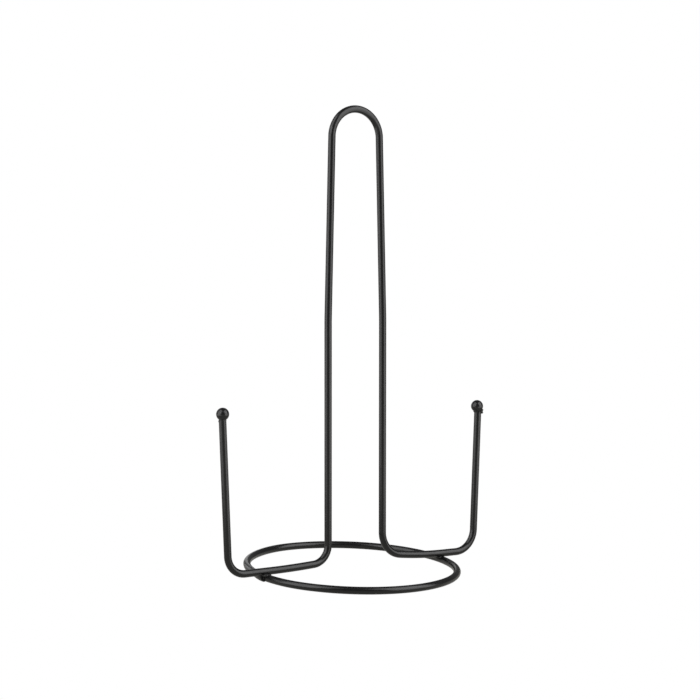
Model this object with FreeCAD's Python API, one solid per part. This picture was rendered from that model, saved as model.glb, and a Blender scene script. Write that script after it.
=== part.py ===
import FreeCAD, Part
import math
import os

# Countertop paper towel stand: a hoop of round wire on the counter, one long bent wire welded across it,
# and a ball on each wire end.
# Frame: millimetres, +Z up, +X along the arms, -Y to the front. The origin is the centre of the hoop, on
# the counter.

# ---- driving sizes ----
WIRE_DIAMETER = 4.5
RING_RADIUS = 68.3            # hoop, to the wire's centreline
RING_FLAT = 2.5               # how far the hoop is flattened on the side where its ends are joined
RING_FLAT_TURN = 152.0        # degrees from +X to the middle of that flatter side
RING_FLAT_REACH = 60.0        # degrees from there to where the hoop is round again
MAST_LENGTH = 286.6           # arm centreline to crown centreline, along the mast
CROWN_RADIUS = 18.0           # round top of the mast, to the wire's centreline
MAST_HALF_WIDTH = 20.8        # mast axis to the centreline of a leg, at the foot
LEG_TAPER = 1.4               # degrees that each leg closes towards the crown
KNEE_RADIUS = 270.0           # soft bend where a leg starts to close
ARM_OVERHANG = 25.2           # hoop centreline to the outer corner of an arm
UPRIGHT_SPLAY = 2.4           # degrees that each upright opens outwards
MAST_LEAN = 4.0               # degrees that the whole bent wire leans back
FRAME_FORWARD = 5.8           # arms in front of the hoop's diameter
BALL_DIAMETER = 8.0

# The wire is bent by hand, so its two sides differ a little.
FOOT_BEND_RADIUS = {"left": 11.5, "right": 15.5}
OUTER_BEND_RADIUS = {"left": 12.0, "right": 14.5}
UPRIGHT_LENGTH = {"left": 98.5, "right": 95.3}      # arm centreline to ball centre
ARM_BOW = {"left": 3.5, "right": 6.5}               # degrees that an arm rises from the hoop to the mast

# ---- fits and welds ----
WELD_SET_DOWN = 0.25          # how far an arm sinks into the hoop as it is welded
SOCKET_DEPTH = 3.2            # blind hole in a ball, below the ball's skin
SOCKET_CLEARANCE = 0.05       # round the wire in that hole
BUTT_GAP = 1.2                # between the hoop's ends, filled by the butt weld
BUTT_FLASH = 0.4              # height of the butt weld over the wire
BUTT_SPACING = 0.4            # plain hoop between the left crossing weld and the butt weld
BEAD_ALONG_ARM = 3.7          # half-lengths of a crossing weld
BEAD_ALONG_RING = 3.0
BEAD_HALF_HEIGHT = 2.1
COLLAR_HEIGHT = 1.7           # weld collar under a ball
COLLAR_WIDTH = 0.9            # how far the collar spreads on the ball

# ---- worked out from the sizes above ----
WIRE_RADIUS = WIRE_DIAMETER / 2
BALL_RADIUS = BALL_DIAMETER / 2
RING_Z = WIRE_RADIUS
ARM_Z = RING_Z + WIRE_DIAMETER - WELD_SET_DOWN
ARM_Y = -FRAME_FORWARD
CORNER_X = RING_RADIUS + ARM_OVERHANG
EASING_RADIUS = 0.8 * RING_RADIUS      # at either end of the hoop's flatter side
SIDES = {"left": -1, "right": 1}

UP = FreeCAD.Vector(0, 0, 1)
ALONG_X = FreeCAD.Vector(1, 0, 0)
RING_CENTRE = FreeCAD.Vector(0, 0, RING_Z)


def wire_vector(x, z):
    """A point in the bent wire's own upright plane, where z = 0 is the arms' centreline."""
    return FreeCAD.Vector(x, 0, z)


def unit(vector):
    return FreeCAD.Vector(vector).normalize()


def leaned(shape):
    """The shape put from the bent wire's own plane to its place over the hoop."""
    placed = shape.copy()
    placed.rotate(FreeCAD.Vector(0, 0, 0), ALONG_X, -MAST_LEAN)
    placed.translate(FreeCAD.Vector(0, ARM_Y, ARM_Z))
    return placed


def rounded_path(points, radii):
    """Straight edges through the points, with a tangent arc of the given radius at each inner corner."""
    edges = []
    start = points[0]
    for before, corner, after, radius in zip(points, points[1:], points[2:], radii):
        inward = unit(before - corner)
        outward = unit(after - corner)
        half_angle = inward.getAngle(outward) / 2
        bisector = unit(inward + outward)
        setback = radius / math.tan(half_angle)
        centre = corner + bisector * (radius / math.sin(half_angle))
        arc_start = corner + inward * setback
        arc_end = corner + outward * setback
        edges.append(Part.LineSegment(start, arc_start).toShape())
        edges.append(Part.Arc(arc_start, centre - bisector * radius, arc_end).toShape())
        start = arc_end
    edges.append(Part.LineSegment(start, points[-1]).toShape())
    return edges


def polar(centre, radius, turn):
    """A point at a distance from a centre, turned by some degrees from +X."""
    angle = math.radians(turn)
    return centre + FreeCAD.Vector(radius * math.cos(angle), radius * math.sin(angle), 0)


def level_arc(centre, radius, start, end):
    return Part.Arc(*[polar(centre, radius, turn) for turn in (start, (start + end) / 2, end)]).toShape()


def flat_arc():
    """Centre, radius and half the span, in degrees, of the flatter arc of the hoop's centreline."""
    easing = RING_RADIUS - EASING_RADIUS
    reach = math.radians(RING_FLAT_REACH)
    back = RING_FLAT * (2 * easing - RING_FLAT) / (2 * (easing * (1 - math.cos(reach)) - RING_FLAT))
    half_span = math.atan2(easing * math.sin(reach), easing * math.cos(reach) + back)
    return polar(RING_CENTRE, -back, RING_FLAT_TURN), RING_RADIUS - RING_FLAT + back, math.degrees(half_span)


def crossing_x(side):
    """Where an arm lies on the hoop: the left arm on the flatter arc, the right arm on the round one."""
    centre, radius = flat_arc()[:2] if side == "left" else (RING_CENTRE, RING_RADIUS)
    return centre.x + SIDES[side] * math.sqrt(radius**2 - (ARM_Y - centre.y)**2)


def side_points(side):
    """Crown tangent, knee, foot corner, bow, outer corner and ball centre of one side of the bent wire."""
    sign = SIDES[side]
    taper = math.radians(LEG_TAPER)
    splay = math.radians(UPRIGHT_SPLAY)
    crown_z = MAST_LENGTH - CROWN_RADIUS
    tangent = wire_vector(sign * CROWN_RADIUS * math.cos(taper), crown_z + CROWN_RADIUS * math.sin(taper))
    closing = MAST_HALF_WIDTH - CROWN_RADIUS * math.cos(taper)
    knee = wire_vector(sign * MAST_HALF_WIDTH, tangent.z - closing / math.tan(taper))
    bow_x = (abs(crossing_x(side)) + MAST_HALF_WIDTH + FOOT_BEND_RADIUS[side]) / 2
    bow = wire_vector(sign * bow_x, 0)
    foot_z = (bow_x - MAST_HALF_WIDTH) * math.tan(math.radians(ARM_BOW[side]))
    foot = wire_vector(sign * MAST_HALF_WIDTH, foot_z)
    corner = wire_vector(sign * CORNER_X, 0)
    rise = wire_vector(sign * math.sin(splay), math.cos(splay))
    ball = corner + rise * UPRIGHT_LENGTH[side]
    return [tangent, knee, foot, bow, corner, ball]


def bow_radius(side):
    """The bow starts where the arm lies on the hoop."""
    bow = side_points(side)[3]
    return abs(crossing_x(side) - bow.x) / math.tan(math.radians(ARM_BOW[side]) / 2)


def ball_place(side):
    """Centre of a ball and the direction of its upright, in the bent wire's own plane."""
    corner, ball = side_points(side)[-2:]
    return ball, unit(ball - corner)


def wire_end(side):
    """Where the wire stops, on the floor of the socket in the ball."""
    ball, rise = ball_place(side)
    return ball - rise * (BALL_RADIUS - SOCKET_DEPTH)


def round_wire(path, start, direction):
    """A round wire swept along a path from its start."""
    section = Part.Wire(Part.makeCircle(WIRE_RADIUS, start, direction))
    return path.makePipeShell([section], True, False)


def frame_path():
    edges = []
    for side in SIDES:
        points = side_points(side)
        points[-1] = wire_end(side)
        radii = [KNEE_RADIUS, FOOT_BEND_RADIUS[side], bow_radius(side), OUTER_BEND_RADIUS[side]]
        edges += rounded_path(points, radii)
    crown_top = wire_vector(0, MAST_LENGTH)
    left_tangent = side_points("left")[0]
    right_tangent = side_points("right")[0]
    edges.append(Part.Arc(left_tangent, crown_top, right_tangent).toShape())
    return Part.Wire(Part.__sortEdges__(edges))


def frame_wire():
    start = wire_end("left")
    rise = ball_place("left")[1]
    return leaned(round_wire(frame_path(), start, rise))


def joint_turn():
    """Where the hoop's ends meet, in degrees round the centre of its flatter arc."""
    centre, radius, _ = flat_arc()
    crossing = math.degrees(math.atan2(ARM_Y - centre.y, crossing_x("left") - centre.x)) % 360
    spacing = BEAD_ALONG_RING + BUTT_SPACING + BUTT_GAP / 2
    return crossing + math.degrees(spacing / radius)


def ring_joint():
    """Centre of the butt weld on the hoop and the hoop's direction there."""
    centre, radius, _ = flat_arc()
    turn = joint_turn()
    return polar(centre, radius, turn), polar(FreeCAD.Vector(0, 0, 0), 1, turn + 90)


def ring_path():
    """The hoop's centreline, once round from one side of the joint to the other."""
    flat_centre, flat_radius, half_span = flat_arc()
    ease = math.degrees(BUTT_GAP / 4 / flat_radius)
    leave = RING_FLAT_TURN + RING_FLAT_REACH
    enter = RING_FLAT_TURN - RING_FLAT_REACH
    easing = RING_RADIUS - EASING_RADIUS
    return Part.Wire([
        level_arc(flat_centre, flat_radius, joint_turn() + ease, RING_FLAT_TURN + half_span),
        level_arc(polar(RING_CENTRE, easing, leave), EASING_RADIUS, RING_FLAT_TURN + half_span, leave),
        level_arc(RING_CENTRE, RING_RADIUS, leave, enter + 360),
        level_arc(polar(RING_CENTRE, easing, enter), EASING_RADIUS, enter, RING_FLAT_TURN - half_span),
        level_arc(flat_centre, flat_radius, RING_FLAT_TURN - half_span, joint_turn() - ease),
    ])


def base_ring(bent_wire):
    """The hoop, open at its butt joint and pressed in a little under each arm."""
    path = ring_path()
    start = path.OrderedVertexes[0].Point
    centre, direction = ring_joint()
    hoop = round_wire(path, start, direction)
    slot = Part.makeCylinder(WIRE_DIAMETER, BUTT_GAP, centre - direction * (BUTT_GAP / 2), direction)
    return hoop.cut(slot).cut(bent_wire)


def ring_butt_weld():
    """A barrel of weld metal between the hoop's ends, proud of the wire but ground flush on the counter."""
    half = BUTT_GAP / 2
    bottom = FreeCAD.Vector(0, 0, -half)
    top = FreeCAD.Vector(0, 0, half)
    skin_bottom = FreeCAD.Vector(WIRE_RADIUS, 0, -half)
    skin_top = FreeCAD.Vector(WIRE_RADIUS, 0, half)
    crest = FreeCAD.Vector(WIRE_RADIUS + BUTT_FLASH, 0, 0)
    outline = Part.Wire([
        Part.LineSegment(bottom, skin_bottom).toShape(),
        Part.Arc(skin_bottom, crest, skin_top).toShape(),
        Part.LineSegment(skin_top, top).toShape(),
        Part.LineSegment(top, bottom).toShape(),
    ])
    barrel = Part.Face(outline).revolve(FreeCAD.Vector(0, 0, 0), UP, 360)
    centre, direction = ring_joint()
    barrel.Placement = FreeCAD.Placement(centre, FreeCAD.Rotation(UP, direction))
    under_counter = Part.makeCylinder(WIRE_DIAMETER, WIRE_DIAMETER, FreeCAD.Vector(centre.x, centre.y, 0), -UP)
    return barrel.cut(under_counter)


def crossing_weld(side, ring, bent_wire):
    """A flattened bead of weld metal that fills the corners between an arm and the hoop."""
    bead = Part.makeSphere(1)
    stretch = FreeCAD.Matrix()
    stretch.scale(BEAD_ALONG_ARM, BEAD_ALONG_RING, BEAD_HALF_HEIGHT)
    bead = bead.transformGeometry(stretch)
    bead.translate(FreeCAD.Vector(crossing_x(side), ARM_Y, (RING_Z + ARM_Z) / 2))
    return bead.cut(ring).cut(bent_wire)


def ball(side):
    """A solid ball with a blind socket for the wire's end."""
    centre, rise = ball_place(side)
    whole = Part.makeSphere(BALL_RADIUS, centre)
    socket = Part.makeCylinder(WIRE_RADIUS + SOCKET_CLEARANCE, BALL_DIAMETER, wire_end(side), -rise)
    return leaned(whole.cut(socket))


def ball_weld(side):
    """A collar of weld metal that flares from the wire to the underside of the ball."""
    centre, rise = ball_place(side)
    top_radius = WIRE_RADIUS + COLLAR_WIDTH
    reach = math.sqrt(BALL_RADIUS**2 - top_radius**2)
    foot = centre - rise * (reach + COLLAR_HEIGHT)
    flare = Part.makeCone(WIRE_RADIUS, top_radius, COLLAR_HEIGHT, foot, rise)
    whole = Part.makeSphere(BALL_RADIUS, centre)
    wire = Part.makeCylinder(WIRE_RADIUS, 2 * BALL_DIAMETER, centre - rise * 2 * BALL_DIAMETER, rise)
    return leaned(flare.cut(whole).cut(wire))


def build():
    bent_wire = frame_wire()
    ring = base_ring(bent_wire)
    nodes = {
        "base_ring": ring,
        "frame_wire": bent_wire,
        "ring_butt_weld": ring_butt_weld(),
    }
    for side in SIDES:
        nodes[side + "_crossing_weld"] = crossing_weld(side, ring, bent_wire)
        nodes[side + "_ball"] = ball(side)
        nodes[side + "_ball_weld"] = ball_weld(side)
    return nodes


def main():
    os.makedirs("parts", exist_ok=True)
    for name, shape in build().items():
        shape.exportStep("parts/" + name + ".step")
        print(name, len(shape.Solids), round(shape.Volume, 2), shape.isValid())
    print("bent wire, section times length:", round(math.pi * WIRE_RADIUS**2 * frame_path().Length, 2))


main()
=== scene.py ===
import math

import bmesh
import bpy
from mathutils import Matrix, Vector


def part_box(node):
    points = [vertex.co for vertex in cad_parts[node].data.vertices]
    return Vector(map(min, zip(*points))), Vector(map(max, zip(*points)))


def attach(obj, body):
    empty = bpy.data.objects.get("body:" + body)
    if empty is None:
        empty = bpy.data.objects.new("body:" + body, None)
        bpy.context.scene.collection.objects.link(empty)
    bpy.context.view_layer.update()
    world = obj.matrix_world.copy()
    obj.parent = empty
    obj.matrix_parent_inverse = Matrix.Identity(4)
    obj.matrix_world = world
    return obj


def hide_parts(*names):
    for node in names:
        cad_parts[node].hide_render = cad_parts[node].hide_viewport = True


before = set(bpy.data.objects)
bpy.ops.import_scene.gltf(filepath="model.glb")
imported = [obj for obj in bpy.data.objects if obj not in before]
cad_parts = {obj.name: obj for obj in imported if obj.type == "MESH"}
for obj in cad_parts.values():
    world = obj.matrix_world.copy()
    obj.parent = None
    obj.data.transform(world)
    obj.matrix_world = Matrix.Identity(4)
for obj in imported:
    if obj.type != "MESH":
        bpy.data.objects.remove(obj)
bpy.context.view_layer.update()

# A countertop paper towel stand of black coated wire. The two wires are swept along their routes with a fine
# skin, the balls are turned, and the welds are laid as rows of small puddles.
# Metres, +Z up, +X along the arms, -Y to the front.

MM = 0.001
BODY = "root"

# ---- sizes read from the frame ----
hoop_low, hoop_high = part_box("base_ring")
wire_low, wire_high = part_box("frame_wire")
WIRE_RADIUS = (hoop_high.z - hoop_low.z) / 2
HOOP_RADIUS = hoop_high.x - WIRE_RADIUS
ARM_Z = wire_low.z + WIRE_RADIUS

# ---- how the hoop is rolled ----
FLAT = 2.5 * MM                     # how far it is flattened on its left side
FLAT_TURN = math.radians(152)       # from +X to the middle of that flatter side
FLAT_REACH = math.radians(60)       # from there to where the hoop is round again
EASING_SHARE = 0.2                  # of the hoop's radius, by which the arcs at the flatter side are smaller
JOINT_SHIFT = 3.2 * MM              # from the middle of the butt weld back to the hoop's joint
END_PROUD = 1.85 * MM               # how far the hoop's last end stands outside its first
END_REACH = 16 * MM                 # length over which that end strays

# ---- how the long wire is bent ----
LEAN = math.radians(4.0)
SPLAY = math.radians(2.4)           # each upright opens outwards
TAPER = math.radians(1.4)           # each mast leg closes towards the crown, above its knee
CROWN_RADIUS = 18.0 * MM
MAST_HALF_WIDTH = 20.8 * MM
KNEE_RADIUS = 270 * MM
FOOT_BEND = {"left": 11.5 * MM, "right": 15.5 * MM}
OUTER_BEND = {"left": 12.0 * MM, "right": 14.5 * MM}
ARM_BOW = {"left": math.radians(3.5), "right": math.radians(6.5)}
ARM_DROOP = {"left": 0.6 * MM, "right": 0.0}
SIDES = {"left": -1, "right": 1}

# ---- finish ----
COAT = 0.10 * MM                    # thickness of the enamel on both wires
BALL_OFFSET = {"left": 0.25 * MM, "right": -0.75 * MM}      # how far a ball sits off its wire, along X

# ---- where it is seen from ----
CAMERA_PLACE = Vector((-0.7251, -1.0614, 0.2788))
CAMERA_HEADING = 0.5950
CAMERA_TILT = -0.10665
CAMERA_ROLL = 0.03980
LENS = 105.36


def middle(node):
    low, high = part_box(node)
    return (low + high) / 2


ARM_Y = middle("right_crossing_weld").y
MAST_LENGTH = (wire_high.z - WIRE_RADIUS - ARM_Z) / math.cos(LEAN)


# ---- node trees ----
class Socket:
    """An output socket. Arithmetic on it adds Math nodes to its tree."""

    def __init__(self, tree, socket):
        self.tree = tree
        self.socket = socket

    def math(self, operation, *values):
        kind = "ShaderNodeMath"
        return self.tree.add(kind, {"operation": operation}, dict(enumerate(values)))

    def __add__(self, other):
        return self.math("ADD", self, other)

    def __sub__(self, other):
        return self.math("SUBTRACT", self, other)

    def __rsub__(self, other):
        return self.math("SUBTRACT", other, self)

    def __mul__(self, other):
        return self.math("MULTIPLY", self, other)

    __radd__ = __add__
    __rmul__ = __mul__


class Tree:
    """A node tree that is filled by add()."""

    def __init__(self, nodes):
        self.nodes = nodes

    def add(self, kind, settings=None, inputs=None, output=0):
        """A new node with its settings and its inputs, as values or sockets. Returns one of its outputs."""
        node = self.nodes.nodes.new(kind)
        for name, value in (settings or {}).items():
            setattr(node, name, value)
        for name, value in (inputs or {}).items():
            if isinstance(value, Socket):
                self.nodes.links.new(value.socket, node.inputs[name])
            else:
                node.inputs[name].default_value = value
        return Socket(self, node.outputs[output]) if len(node.outputs) else None


def ramp(tree, value, stops):
    """A ramp of greys: stops are (place, grey)."""
    node = tree.nodes.nodes.new("ShaderNodeValToRGB")
    elements = node.color_ramp.elements
    while len(elements) < len(stops):
        elements.new(0.5)
    for element, (place, grey) in zip(elements, stops):
        element.position = place
        element.color = (grey, grey, grey, 1)
    tree.nodes.links.new(value.socket, node.inputs[0])
    return Socket(tree, node.outputs[0])


# ---- materials ----
def coating(name, dark, light, roughness, spread, peel, pits):
    """Black baked enamel: faint mottling, orange peel, dust specks, and pits where it covers a weld."""
    material = bpy.data.materials.new(name)
    material.use_nodes = True
    material.node_tree.nodes.clear()
    tree = Tree(material.node_tree)
    place = tree.add("ShaderNodeTexCoord", output="Object")

    def noise(scale, detail, rough=0.5):
        wanted = {"Vector": place, "Scale": scale, "Detail": detail, "Roughness": rough}
        return tree.add("ShaderNodeTexNoise", {}, wanted)

    mottle = noise(95, 3)
    smear = noise(420, 2)
    skin = noise(520, 2)
    grit = noise(3200, 2, 0.6)
    specks = ramp(tree, grit, [(0.70, 0.0), (0.76, 1.0)])
    colour = tree.add(
        "ShaderNodeMix",
        {"data_type": "RGBA"},
        {"Factor": mottle * 0.8 + specks * 0.35, "A": (*dark, 1), "B": (*light, 1)},
        output=2,
    )
    gloss = roughness + (smear - 0.5) * spread + specks * 0.2
    height = skin * peel + grit * pits
    normal = tree.add("ShaderNodeBump", {}, {"Strength": 0.5, "Distance": 0.015 * MM, "Height": height})
    shader = tree.add(
        "ShaderNodeBsdfPrincipled",
        {},
        {"Base Color": colour, "Roughness": gloss, "Normal": normal, "IOR": 1.5},
    )
    tree.add("ShaderNodeOutputMaterial", {}, {"Surface": shader})
    return material


ENAMEL = coating("black_enamel", (0.005, 0.005, 0.0052), (0.011, 0.011, 0.011), 0.21, 0.05, 0.8, 0.02)
WELD_SKIN = coating("enamel_over_weld", (0.005, 0.005, 0.0047), (0.011, 0.0105, 0.010), 0.40, 0.20, 1.5, 3.0)
BALL_GLOSS = coating("enamel_on_ball", (0.006, 0.006, 0.0062), (0.012, 0.012, 0.012), 0.18, 0.05, 0.5, 0.02)


# ---- geometry node modifiers ----
def modifier_tree(name, inputs):
    """A geometry node group with named inputs, given as name: (socket type, default)."""
    group = bpy.data.node_groups.new(name, "GeometryNodeTree")
    group.interface.new_socket("Geometry", in_out="INPUT", socket_type="NodeSocketGeometry")
    for label, (kind, default) in inputs.items():
        group.interface.new_socket(label, in_out="INPUT", socket_type=kind).default_value = default
    group.interface.new_socket("Geometry", in_out="OUTPUT", socket_type="NodeSocketGeometry")
    tree = Tree(group)
    source = group.nodes.new("NodeGroupInput")
    sockets = {socket.name: Socket(tree, socket) for socket in source.outputs if socket.name}
    return group, tree, sockets


def finish_tree(group, tree, geometry, material):
    solid = tree.add("GeometryNodeRealizeInstances", {}, {"Geometry": geometry})
    smooth = tree.add("GeometryNodeSetShadeSmooth", {}, {"Geometry": solid})
    dressed = tree.add("GeometryNodeSetMaterial", {}, {"Geometry": smooth, "Material": material})
    tree.add("NodeGroupOutput", {}, {"Geometry": dressed})
    return group


def grown(name, source, group, values, node):
    """The plain mesh that a node group grows from a source mesh, riding in place of a CAD node."""
    seed = bpy.data.objects.new(name + "_seed", source)
    bpy.context.scene.collection.objects.link(seed)
    modifier = seed.modifiers.new("grow", "NODES")
    modifier.node_group = group
    for item in group.interface.items_tree:
        if item.item_type == "SOCKET" and item.in_out == "INPUT" and item.name in values:
            modifier[item.identifier] = values[item.name]
    bpy.context.view_layer.update()
    evaluated = seed.evaluated_get(bpy.context.evaluated_depsgraph_get())
    mesh = bpy.data.meshes.new_from_object(evaluated)
    mesh.name = name
    bpy.data.objects.remove(seed)
    return placed(name, mesh, node)


def placed(name, mesh, node):
    piece = bpy.data.objects.new(name, mesh)
    bpy.context.scene.collection.objects.link(piece)
    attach(piece, BODY)
    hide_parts(node)
    return piece


def polyline(name, points, label, values):
    """A chain of edges with a value at each point: the bend radius of a wire, or the fatness of a weld."""
    mesh = bpy.data.meshes.new(name)
    mesh.from_pydata([tuple(p) for p in points], [(i, i + 1) for i in range(len(points) - 1)], [])
    mesh.attributes.new(label, "FLOAT", "POINT").data.foreach_set("value", values)
    return mesh


# ---- round wire ----
def wire_tree():
    """A chain of edges is rounded at its corners and swept with a circle, with a coat of uneven thickness."""
    group, tree, given = modifier_tree("round_wire", {
        "Radius": ("NodeSocketFloat", WIRE_RADIUS + COAT),
        "Spacing": ("NodeSocketFloat", 0.7 * MM),
        "Sides": ("NodeSocketInt", 40),
        "Coat swell": ("NodeSocketFloat", 0.035 * MM),
    })
    curve = tree.add("GeometryNodeMeshToCurve", {}, {"Mesh": given["Geometry"]})
    bend = tree.add("GeometryNodeInputNamedAttribute", {"data_type": "FLOAT"}, {"Name": "bend"})
    rounded = tree.add(
        "GeometryNodeFilletCurve", {"mode": "POLY"}, {"Curve": curve, "Radius": bend, "Count": 48}
    )
    even = tree.add(
        "GeometryNodeResampleCurve", {"mode": "LENGTH"}, {"Curve": rounded, "Length": given["Spacing"]}
    )
    level = tree.add("GeometryNodeSetCurveNormal", {"mode": "MINIMUM_TWIST"}, {"Curve": even})
    section = tree.add(
        "GeometryNodeCurvePrimitiveCircle",
        {"mode": "RADIUS"},
        {"Resolution": given["Sides"], "Radius": given["Radius"]},
    )
    swept = tree.add(
        "GeometryNodeCurveToMesh", {}, {"Curve": level, "Profile Curve": section, "Fill Caps": True}
    )
    swell = tree.add("ShaderNodeTexNoise", {}, {"Scale": 130.0, "Detail": 2.0})
    push = (swell - 0.5) * given["Coat swell"]
    outward = tree.add("GeometryNodeInputNormal")
    shift = tree.add("ShaderNodeVectorMath", {"operation": "SCALE"}, {0: outward, "Scale": push})
    coated = tree.add("GeometryNodeSetPosition", {}, {"Geometry": swept, "Offset": shift})
    return finish_tree(group, tree, coated, ENAMEL)


WIRE_TREE = wire_tree()


def leaned(x, height):
    """A point of the long wire's own plane, height up the mast from the arms, put in its place."""
    return Vector((x, ARM_Y + height * math.sin(LEAN), ARM_Z + height * math.cos(LEAN)))


def ball_centre(side):
    low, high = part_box(side + "_ball")
    radius = (high.x - low.x) / 2
    return Vector(((low.x + high.x) / 2, (low.y + high.y) / 2, high.z - radius)), radius


def upright(side):
    """Outer corner, ball centre and direction of an upright."""
    centre, _ = ball_centre(side)
    height = (centre.z - ARM_Z) / math.cos(LEAN)
    corner = leaned(centre.x - SIDES[side] * height * math.tan(SPLAY), -ARM_DROOP[side])
    return corner, centre, (centre - corner).normalized()


def half_route(side):
    """Corners of one side of the long wire, from its ball to the crown, and the bend at each."""
    sign = SIDES[side]
    corner, centre, rise = upright(side)
    crossing = abs(middle(side + "_crossing_weld").x)
    bow = (crossing + MAST_HALF_WIDTH + FOOT_BEND[side]) / 2
    crown = CROWN_RADIUS * math.tan(math.pi / 4 - TAPER / 2)
    knee_drop = (MAST_HALF_WIDTH - crown) / math.tan(TAPER)
    points = [
        centre - rise * WIRE_RADIUS,
        corner,
        leaned(sign * bow, 0),
        leaned(sign * MAST_HALF_WIDTH, (bow - MAST_HALF_WIDTH) * math.tan(ARM_BOW[side])),
        leaned(sign * MAST_HALF_WIDTH, MAST_LENGTH - knee_drop),
        leaned(sign * crown, MAST_LENGTH),
    ]
    bow_radius = (crossing - bow) / math.tan(ARM_BOW[side] / 2)
    return points, [0.0, OUTER_BEND[side], bow_radius, FOOT_BEND[side], KNEE_RADIUS, CROWN_RADIUS]


def long_wire():
    left, left_bends = half_route("left")
    right, right_bends = half_route("right")
    path = polyline("long_wire_route", left + right[::-1], "bend", left_bends + right_bends[::-1])
    grown("long_wire", path, WIRE_TREE, {}, "frame_wire")


def from_hoop(turn, distance, centre=Vector((0, 0, 0))):
    """A level point at a distance and turn from the hoop's centre or from another one."""
    return centre + Vector((distance * math.cos(turn), distance * math.sin(turn), 0))


def hoop_arcs():
    """The hoop's arcs, counter-clockwise from the flatter one, as (centre, radius, first turn, last turn)."""
    easing = EASING_SHARE * HOOP_RADIUS
    back = FLAT * (2 * easing - FLAT) / (2 * (easing * (1 - math.cos(FLAT_REACH)) - FLAT))
    span = math.atan2(easing * math.sin(FLAT_REACH), easing * math.cos(FLAT_REACH) + back)
    leave = FLAT_TURN + FLAT_REACH
    enter = FLAT_TURN - FLAT_REACH
    return [
        (from_hoop(FLAT_TURN, -back), HOOP_RADIUS - FLAT + back, FLAT_TURN - span, FLAT_TURN + span),
        (from_hoop(leave, easing), HOOP_RADIUS - easing, FLAT_TURN + span, leave),
        (Vector((0, 0, 0)), HOOP_RADIUS, leave, enter + math.tau),
        (from_hoop(enter, easing), HOOP_RADIUS - easing, enter, FLAT_TURN - span),
    ]


def hoop_joint():
    """Turn, round the flatter arc's centre, at which the hoop's ends meet, close to the left arm."""
    joint = middle("ring_butt_weld") - hoop_arcs()[0][0]
    return math.atan2(joint.y, joint.x) % math.tau - JOINT_SHIFT / joint.length


def hoop():
    """The hoop's wire, once round from its joint, its last end standing a little proud of its first."""
    flat, leaving, main, entering = hoop_arcs()
    joint = hoop_joint()
    legs = [flat[:2] + (joint, flat[3]), leaving, main, entering, flat[:2] + (flat[2], joint)]
    points = []
    for centre, radius, first, last in legs:
        steps = max(2, round(abs(last - first) * radius / (1.2 * MM)))
        for i in range(0 if first == joint else 1, steps + 1):
            turn = first + (last - first) * i / steps
            from_tip = radius * (last - turn) if last == joint else END_REACH
            proud = END_PROUD * max(0.0, 1 - (from_tip / END_REACH) ** 2) ** 2
            points.append(from_hoop(turn, radius + proud, centre) + Vector((0, 0, WIRE_RADIUS + COAT)))
    grown("hoop", polyline("hoop_route", points, "bend", [0.0] * len(points)), WIRE_TREE, {}, "base_ring")


# ---- balls ----
def lathe(name, outline, centre, axis, sides=96):
    """A closed solid of revolution. outline is (distance along axis, radius), from pole to pole."""
    put = Matrix.Translation(centre) @ Vector((0, 0, 1)).rotation_difference(axis).to_matrix().to_4x4()
    shape = bmesh.new()
    rings = []
    for along, radius in outline:
        count = sides if radius > 0 else 1
        turns = [math.tau * k / sides for k in range(count)]
        points = [Vector((radius * math.cos(turn), radius * math.sin(turn), along)) for turn in turns]
        rings.append([shape.verts.new(put @ point) for point in points])
    for lower, upper in zip(rings, rings[1:]):
        for k in range(sides):
            after = k + 1
            face = [
                lower[k % len(lower)],
                lower[after % len(lower)],
                upper[after % len(upper)],
                upper[k % len(upper)],
            ]
            shape.faces.new(list(dict.fromkeys(face)))
    bmesh.ops.recalc_face_normals(shape, faces=shape.faces)
    mesh = bpy.data.meshes.new(name)
    shape.to_mesh(mesh)
    shape.free()
    mesh.shade_smooth()
    return mesh


def ball(side):
    """A ball with a small flat on top and a mouth that closes round the wire, set a little off the wire."""
    centre, radius = ball_centre(side)
    centre = centre + Vector((BALL_OFFSET[side], 0, 0))
    rise = upright(side)[2]
    flat_top = 0.10
    mouth = math.asin(WIRE_RADIUS * 0.94 / radius)
    steps = 48
    outline = [(-radius * math.cos(mouth) * 0.7, 0.0), (-radius * math.cos(mouth) * 0.97, WIRE_RADIUS * 0.9)]
    for i in range(steps + 1):
        angle = math.pi - mouth + (flat_top - math.pi + mouth) * i / steps
        outline.append((radius * math.cos(angle), radius * math.sin(angle)))
    outline.append((radius * (math.cos(flat_top) - 0.002), 0.0))
    mesh = lathe(side + "_ball_skin", outline, centre, rise)
    mesh.materials.append(BALL_GLOSS)
    placed(side + "_round_ball", mesh, side + "_ball")


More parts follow.
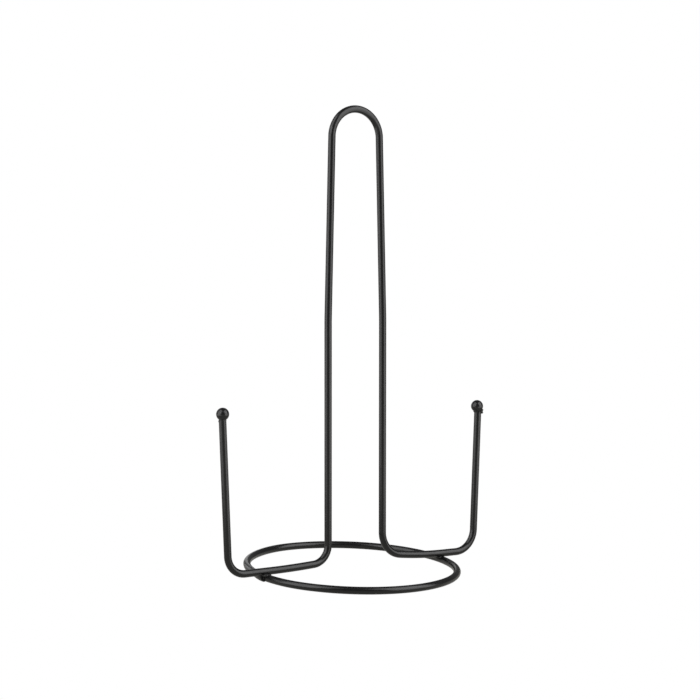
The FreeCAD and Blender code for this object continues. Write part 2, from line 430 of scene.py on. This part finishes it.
# ---- welds ----
def weld_tree():
    """Puddles of weld metal set along a chain of edges and run together into one bead."""
    group, tree, given = modifier_tree("weld_bead", {
        "Puddle radius": ("NodeSocketFloat", 1.0 * MM),
        "Puddle spacing": ("NodeSocketFloat", 0.8 * MM),
        "Flatness": ("NodeSocketFloat", 0.8),
        "Unevenness": ("NodeSocketFloat", 0.25),
        "Grain": ("NodeSocketFloat", 0.10 * MM),
        "Seed": ("NodeSocketInt", 3),
    })
    curve = tree.add("GeometryNodeMeshToCurve", {}, {"Mesh": given["Geometry"]})
    points = tree.add(
        "GeometryNodeCurveToPoints", {"mode": "LENGTH"}, {"Curve": curve, "Length": given["Puddle spacing"]}
    )
    fatness = tree.add("GeometryNodeInputNamedAttribute", {"data_type": "FLOAT"}, {"Name": "fat"})
    puddle = tree.add("GeometryNodeMeshIcoSphere", {}, {"Radius": given["Puddle radius"], "Subdivisions": 3})
    spread = tree.add(
        "FunctionNodeRandomValue",
        {"data_type": "FLOAT"},
        {2: 1 - given["Unevenness"], 3: 1 + given["Unevenness"], "Seed": given["Seed"]},
        output=1,
    )
    spread = spread * fatness
    size = tree.add("ShaderNodeCombineXYZ", {}, {0: spread, 1: spread, 2: spread * given["Flatness"]})
    row = tree.add("GeometryNodeInstanceOnPoints", {}, {"Points": points, "Instance": puddle, "Scale": size})
    solid = tree.add("GeometryNodeRealizeInstances", {}, {"Geometry": row})
    cloud = tree.add(
        "GeometryNodeMeshToVolume",
        {"resolution_mode": "VOXEL_SIZE"},
        {"Mesh": solid, "Voxel Size": 0.16 * MM, "Interior Band Width": 0.8 * MM},
    )
    skin = tree.add(
        "GeometryNodeVolumeToMesh",
        {"resolution_mode": "VOXEL_SIZE"},
        {"Volume": cloud, "Voxel Size": 0.16 * MM, "Threshold": 0.1},
    )
    grain = tree.add("ShaderNodeTexNoise", {}, {"Scale": 1400.0, "Detail": 3.0})
    push = (grain - 0.5) * given["Grain"]
    outward = tree.add("GeometryNodeInputNormal")
    shift = tree.add("ShaderNodeVectorMath", {"operation": "SCALE"}, {0: outward, "Scale": push})
    rough = tree.add("GeometryNodeSetPosition", {}, {"Geometry": skin, "Offset": shift})
    return finish_tree(group, tree, rough, WELD_SKIN)


WELD_TREE = weld_tree()


def hump(turn, peak, width):
    """1 at a turn's peak, falling away on both sides of it."""
    apart = (turn - peak + 0.5) % 1 - 0.5
    return math.exp(-((apart / width) ** 2))


# Where round a crossing its bead is fattest, as a share of a turn, and how far off the crossing it sits, in
# millimetres.
CROSSING_BEAD = {"left": (0.72, (-0.2, -0.7, -0.1)), "right": (0.30, (-1.6, 0.6, -0.2))}


def crossing_bead(side):
    """A ring of puddles round the spot where an arm lies on the hoop, most of them on one side of the arm."""
    centre = middle(side + "_crossing_weld")
    heavy, shift = CROSSING_BEAD[side]
    points, fat = [], []
    for i in range(25):
        turn = i / 24
        angle = math.tau * turn
        loop = Vector((2.2 * math.cos(angle), 1.8 * math.sin(angle), 0))
        points.append(centre + (loop + Vector(shift)) * MM)
        fat.append(0.65 + 0.5 * hump(turn, heavy, 0.2))
    path = polyline(side + "_bead_route", points, "fat", fat)
    values = {"Puddle radius": 1.3 * MM, "Seed": 3 if side == "left" else 8}
    grown(side + "_crossing_bead", path, WELD_TREE, values, side + "_crossing_weld")


# A collar's radius and its drop below the middle of its space, in millimetres, and its puddles' fatness.
COLLAR = {"left": (2.05, 0.2, 0.55), "right": (2.15, 0.4, 0.95)}

# Lumps of spatter on a collar. Where each is and how wide, as shares of a turn, and how far it runs down and
# stands out, in millimetres.
SPATTER = {
    "left": [(0.50, 0.045, 1.4, 0.16)],
    "right": [(0.00, 0.120, 0.2, 0.25), (0.93, 0.035, -1.7, 0.85), (0.05, 0.035, 0.5, 0.70)],
}


def ball_bead(side):
    """A thin collar under a ball, with the spatter that stands out of it on one side."""
    low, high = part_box(side + "_ball_weld")
    rise = upright(side)[2]
    sideways = Vector((math.cos(CAMERA_HEADING), -math.sin(CAMERA_HEADING), 0))
    depth = rise.cross(sideways)
    radius, height, size = COLLAR[side]
    points, fat = [], []
    for i in range(145):
        turn = i / 144
        out, drop = radius, height
        for peak, width, fall, push in SPATTER[side]:
            out += push * hump(turn, peak, width)
            drop += fall * hump(turn, peak, width)
        angle = math.tau * turn
        spoke = sideways * math.cos(angle) + depth * math.sin(angle)
        points.append((low + high) / 2 + (spoke * out - rise * drop) * MM)
        fat.append(size)
    path = polyline(side + "_collar_route", points, "fat", fat)
    values = {"Puddle radius": 0.75 * MM, "Puddle spacing": 0.45 * MM, "Seed": 5 if side == "left" else 11}
    grown(side + "_ball_bead", path, WELD_TREE, values, side + "_ball_weld")


def butt_bead():
    """A short seam over the hoop's joint."""
    flat_centre, flat_radius = hoop_arcs()[0][:2]
    centre = from_hoop(hoop_joint(), flat_radius, flat_centre) + Vector((0, 0, WIRE_RADIUS))
    outward = from_hoop(hoop_joint(), WIRE_RADIUS - 0.3 * MM)
    upward = Vector((0, 0, WIRE_RADIUS - 0.3 * MM))
    turns = [math.tau * (-0.10 + 0.7 * i / 20) for i in range(21)]
    points = [centre + outward * math.cos(turn) + upward * math.sin(turn) for turn in turns]
    path = polyline("butt_route", points, "fat", [0.9] * len(points))
    values = {"Puddle radius": 0.65 * MM, "Puddle spacing": 0.5 * MM, "Seed": 2}
    grown("hoop_butt_bead", path, WELD_TREE, values, "ring_butt_weld")


long_wire()
hoop()
for side in SIDES:
    ball(side)
    crossing_bead(side)
    ball_bead(side)
butt_bead()


# ---- floor, light and camera ----
def seen_and_lit(tree, seen, lit):
    """One emission for what the camera sees and another for what lights the stand."""
    ray = tree.add("ShaderNodeLightPath", output="Is Camera Ray")
    return tree.add("ShaderNodeMixShader", {}, {0: ray, 1: lit, 2: seen})


def stage():
    floor = bpy.data.meshes.new("floor")
    floor.from_pydata([(-6, -6, 0), (6, -6, 0), (6, 6, 0), (-6, 6, 0)], [], [(0, 1, 2, 3)])
    material = bpy.data.materials.new("white_sweep")
    material.use_nodes = True
    material.node_tree.nodes.clear()
    tree = Tree(material.node_tree)
    seen = tree.add("ShaderNodeEmission", {}, {"Color": (1, 1, 1, 1), "Strength": 1.0})
    lit = tree.add("ShaderNodeEmission", {}, {"Color": (1, 0.98, 0.92, 1), "Strength": 0.44})
    tree.add("ShaderNodeOutputMaterial", {}, {"Surface": seen_and_lit(tree, seen, lit)})
    floor.materials.append(material)
    piece = bpy.data.objects.new("floor", floor)
    bpy.context.scene.collection.objects.link(piece)
    world = bpy.data.worlds.new("studio")
    world.use_nodes = True
    world.node_tree.nodes.clear()
    tree = Tree(world.node_tree)
    seen = tree.add("ShaderNodeBackground", {}, {"Color": (1, 1, 1, 1), "Strength": 1.0})
    lit = tree.add("ShaderNodeBackground", {}, {"Color": (1, 1, 1, 1), "Strength": 0.12})
    tree.add("ShaderNodeOutputWorld", {}, {"Surface": seen_and_lit(tree, seen, lit)})
    bpy.context.scene.world = world


def camera():
    forward = Vector((
        math.sin(CAMERA_HEADING) * math.cos(CAMERA_TILT),
        math.cos(CAMERA_HEADING) * math.cos(CAMERA_TILT),
        math.sin(CAMERA_TILT),
    ))
    level = Vector((math.cos(CAMERA_HEADING), -math.sin(CAMERA_HEADING), 0))
    above = level.cross(forward)
    right = level * math.cos(CAMERA_ROLL) + above * math.sin(CAMERA_ROLL)
    up = above * math.cos(CAMERA_ROLL) - level * math.sin(CAMERA_ROLL)
    data = bpy.data.cameras.new("camera")
    data.lens = LENS
    data.sensor_width = 36
    data.clip_start = 0.01
    eye = bpy.data.objects.new("camera", data)
    eye.matrix_world = Matrix((right, up, -forward)).transposed().to_4x4()
    eye.matrix_world.translation = CAMERA_PLACE
    bpy.context.scene.collection.objects.link(eye)
    bpy.context.scene.camera = eye


def softbox(name, turn, rise, distance, width, height, radiance):
    """A rectangular lamp that faces the stand, turned round it from the camera's side and raised."""
    heading = math.atan2(CAMERA_PLACE.y, CAMERA_PLACE.x) + math.radians(turn)
    rise = math.radians(rise)
    aim = Vector((0, 0, 0.15))
    away = Vector((math.cos(heading) * math.cos(rise), math.sin(heading) * math.cos(rise), math.sin(rise)))
    data = bpy.data.lights.new(name, "AREA")
    data.shape = "RECTANGLE"
    data.size = width
    data.size_y = height
    data.energy = radiance * math.pi * width * height
    lamp = bpy.data.objects.new(name, data)
    facing = (-away).to_track_quat("-Z", "Y").to_matrix().to_4x4()
    lamp.matrix_world = Matrix.Translation(aim + away * distance) @ facing
    lamp.visible_camera = False
    bpy.context.scene.collection.objects.link(lamp)
    return lamp


def bounce_card(name, turn, distance, size, radiance):
    """A softbox laid on the floor, facing up, that brightens what the wires mirror at their sides."""
    card = softbox(name, turn, 0, distance, size, size, radiance)
    x, y, _ = card.matrix_world.translation
    card.matrix_world = Matrix.Translation((x, y, 0.003)) @ Matrix.Rotation(math.pi, 4, "X")


stage()
camera()
softbox("left_softbox", -63, 15, 1.5, 1.7, 1.1, 2.1)
softbox("right_softbox", 70, 15, 1.5, 1.5, 1.1, 2.1)
softbox("left_front_softbox", -32, 26, 1.5, 0.6, 0.4, 1.6)
softbox("left_top_softbox", -62, 51, 1.5, 1.5, 1.0, 1.8)
softbox("right_top_softbox", 72, 48, 1.5, 1.5, 1.0, 2.1)
softbox("left_back_softbox", -135, 12, 1.6, 1.0, 0.8, 0.9)
softbox("back_softbox", -170, 3, 1.5, 0.40, 0.50, 0.6)
bounce_card("left_bounce_card", -72, 0.95, 1.1, 1.2)
bounce_card("right_bounce_card", 72, 0.95, 1.1, 1.2)
bpy.context.scene.view_settings.view_transform = "Standard"
